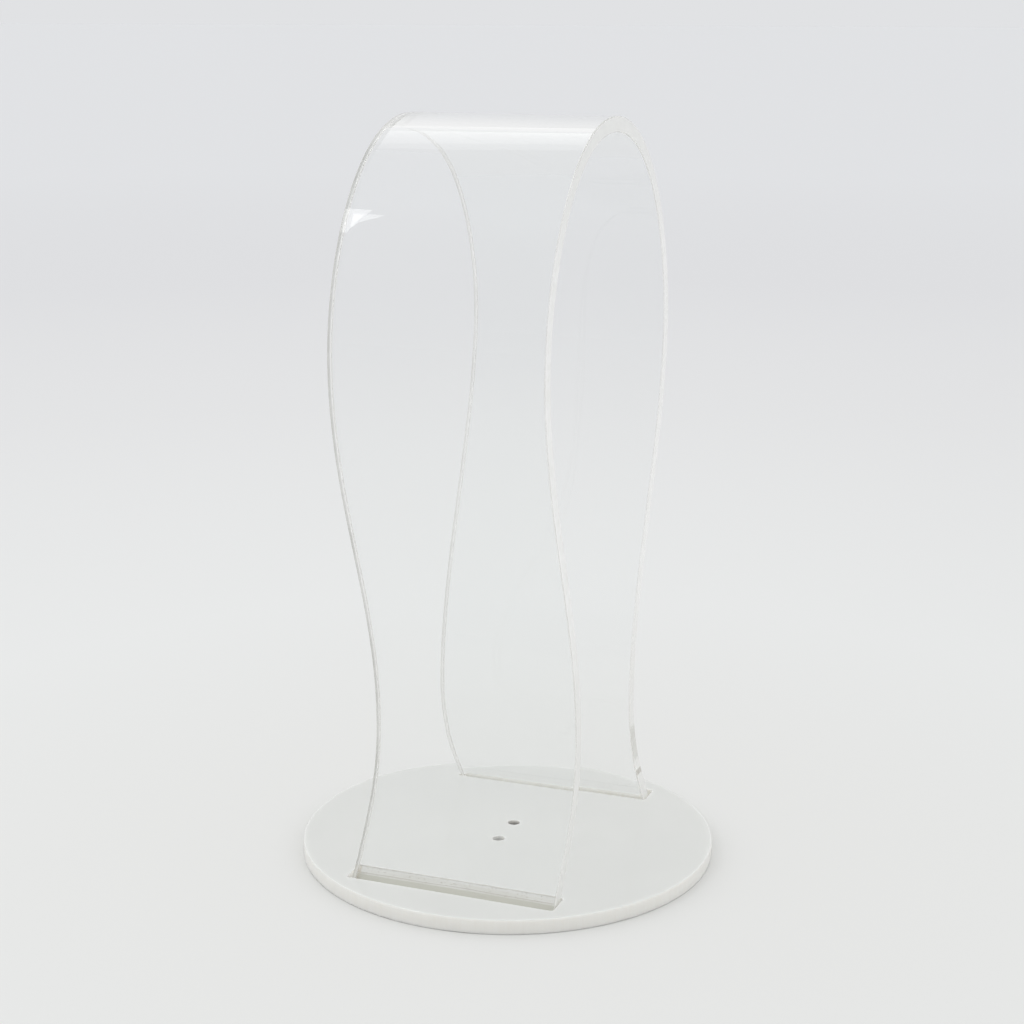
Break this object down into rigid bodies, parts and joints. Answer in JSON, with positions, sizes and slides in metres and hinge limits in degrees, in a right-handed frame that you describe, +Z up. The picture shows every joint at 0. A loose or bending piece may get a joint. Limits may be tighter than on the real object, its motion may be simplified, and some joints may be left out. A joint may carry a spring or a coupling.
{
  "type": "headphone stand",
  "caption": "Tall omega-shaped arch of clear bent acrylic strip with flared feet, standing in two slots of a thin round opal disc.",
  "frame": {"origin": "middle of the disc's underside, on the surface that the stand rests on", "axes": "+Z up; the arch spans along Y, front foot at -Y and rear foot at +Y; the width of the strip runs along X"},
  "size_m": [0.14, 0.14, 0.248],
  "materials": {
    "clear_acrylic": "polished clear cast sheet with bright laser-cut edges",
    "opal_acrylic": "glossy opal white cast sheet, slightly translucent",
    "dried_cement": "hardened clear solvent cement with small bubbles"
  },
  "bodies": {
    "root": {"arch_strip": "clear_acrylic", "base_disc": "opal_acrylic", "cement_bead_front": "dried_cement", "cement_bead_rear": "dried_cement"}
  },
  "joints": []
}
